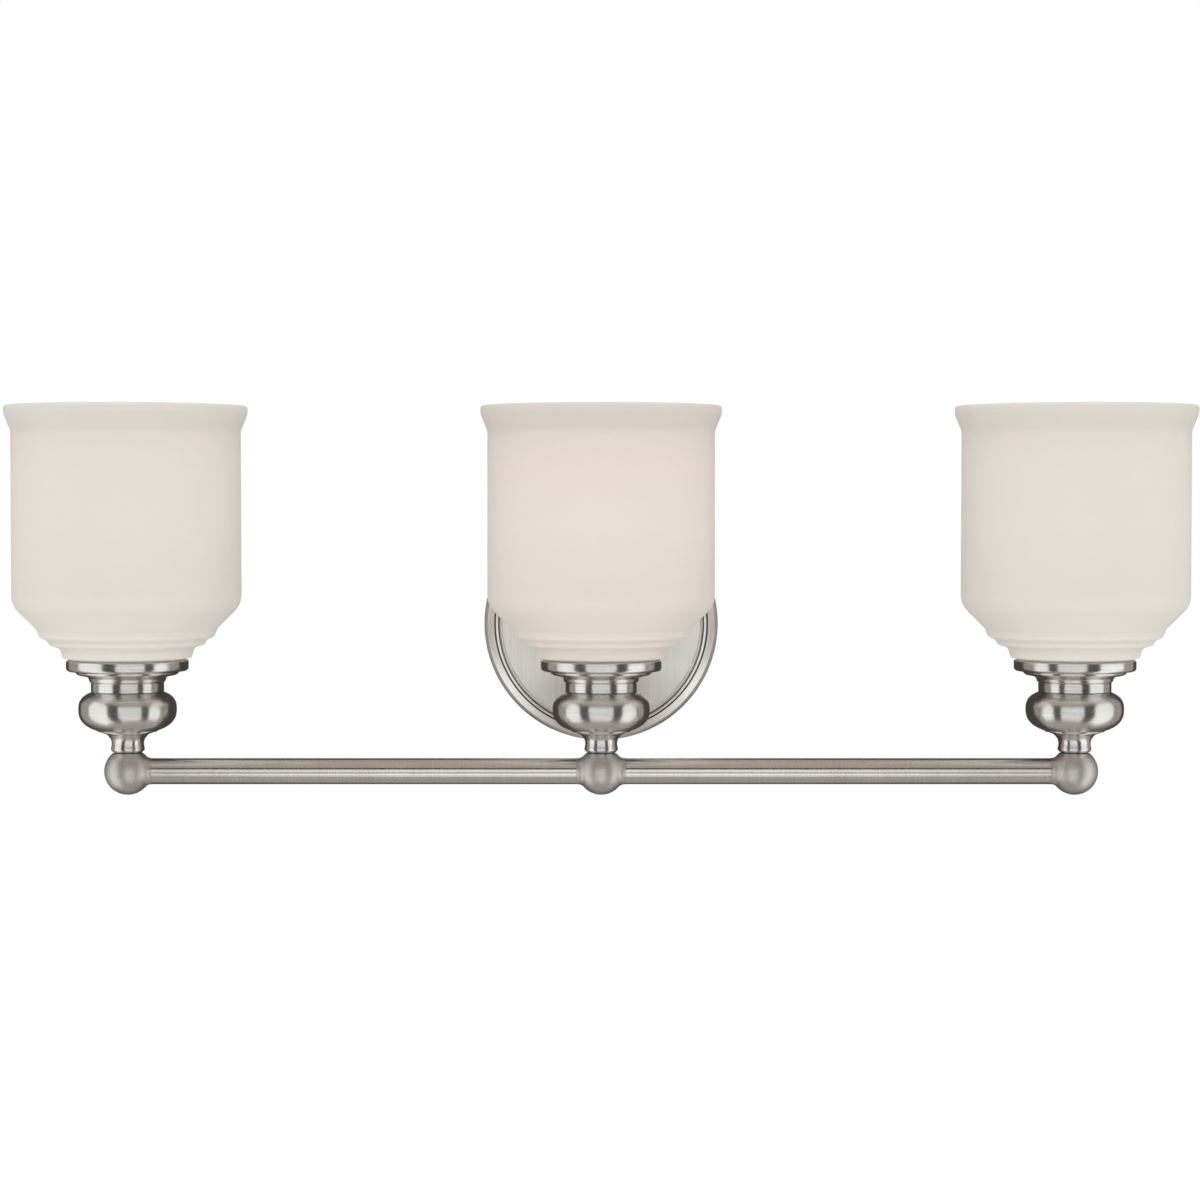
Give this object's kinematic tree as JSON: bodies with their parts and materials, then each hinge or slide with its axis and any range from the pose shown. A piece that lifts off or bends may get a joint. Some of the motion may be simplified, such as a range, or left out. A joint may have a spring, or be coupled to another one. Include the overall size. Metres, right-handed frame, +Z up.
{
  "type": "vanity light bar",
  "caption": "Wall vanity light bar: round stepped backplate, horizontal tube bar with balls, turned nickel holders and upright opal glass bell shades.",
  "frame": {"origin": "centre of the backplate's rim on the wall plane", "axes": "+X along the bar, +Z up, +Y into the wall, the front faces -Y"},
  "size_m": [0.6094, 0.1647, 0.1994],
  "materials": {
    "satin_nickel": "satin nickel plate, brushed around each turned part",
    "opal_glass": "opal glass, etched matte outside",
    "zinc_steel": "zinc-plated steel",
    "green_steel": "green passivated steel",
    "bare_copper": "bare drawn copper",
    "connector_plastic": "moulded matte plastic",
    "white_plastic": "moulded phenolic, matte",
    "socket_porcelain": "glazed white porcelain",
    "brass": "rolled brass",
    "frosted_glass": "inside-frosted lamp glass",
    "lamp_aluminium": "rolled aluminium screw cap",
    "black_insulator": "black glass insulator",
    "black_insulation": "black lead insulation",
    "white_insulation": "white lead insulation"
  },
  "bodies": {
    "fixture": {"backplate": "satin_nickel", "mounting_strap": "zinc_steel", "mounting_studs": "zinc_steel", "cap_nuts": "satin_nickel", "ground_screw": "green_steel", "ground_wire": "bare_copper", "ground_terminal": "zinc_steel", "arm_tube": "satin_nickel", "arm_collar": "satin_nickel", "arm_lock_nut": "zinc_steel", "wire_connectors": "connector_plastic", "bar_tube_left": "satin_nickel", "bar_tube_right": "satin_nickel", "lamp_nipples": "zinc_steel", "nipple_nuts": "zinc_steel", "bar_ball_left": "satin_nickel", "bar_ball_centre": "satin_nickel", "bar_ball_right": "satin_nickel", "lamp_foot_left": "satin_nickel", "lamp_foot_centre": "satin_nickel", "lamp_foot_right": "satin_nickel", "lamp_vase_left": "satin_nickel", "lamp_vase_centre": "satin_nickel", "lamp_vase_right": "satin_nickel", "lamp_collar_left": "satin_nickel", "lamp_collar_centre": "satin_nickel", "lamp_collar_right": "satin_nickel", "shade_cup_left": "satin_nickel", "shade_cup_centre": "satin_nickel", "shade_cup_right": "satin_nickel", "glass_shade_left": "opal_glass", "glass_shade_centre": "opal_glass", "glass_shade_right": "opal_glass", "shade_ring_left": "white_plastic", "shade_ring_centre": "white_plastic", "shade_ring_right": "white_plastic", "socket_body_left": "socket_porcelain", "socket_body_centre": "socket_porcelain", "socket_body_right": "socket_porcelain", "screw_shell_left": "brass", "screw_shell_centre": "brass", "screw_shell_right": "brass", "centre_contact_left": "brass", "centre_contact_centre": "brass", "centre_contact_right": "brass", "black_lead_left": "black_insulation", "black_lead_centre": "black_insulation", "black_lead_right": "black_insulation", "white_lead_left": "white_insulation", "white_lead_centre": "white_insulation", "white_lead_right": "white_insulation"},
    "lamp_left": {"bulb_glass_left": "frosted_glass", "bulb_cap_left": "lamp_aluminium", "bulb_base_left": "black_insulator"},
    "lamp_centre": {"bulb_glass_centre": "frosted_glass", "bulb_cap_centre": "lamp_aluminium", "bulb_base_centre": "black_insulator"},
    "lamp_right": {"bulb_glass_right": "frosted_glass", "bulb_cap_right": "lamp_aluminium", "bulb_base_right": "black_insulator"}
  },
  "joints": [
    {"name": "lamp_left_unscrew", "type": "slide", "parent": "fixture", "child": "lamp_left", "axis": [0, 0, 1], "range_m": [0, 0.125]},
    {"name": "lamp_centre_unscrew", "type": "slide", "parent": "fixture", "child": "lamp_centre", "axis": [0, 0, 1], "range_m": [0, 0.125]},
    {"name": "lamp_right_unscrew", "type": "slide", "parent": "fixture", "child": "lamp_right", "axis": [0, 0, 1], "range_m": [0, 0.125]}
  ]
}
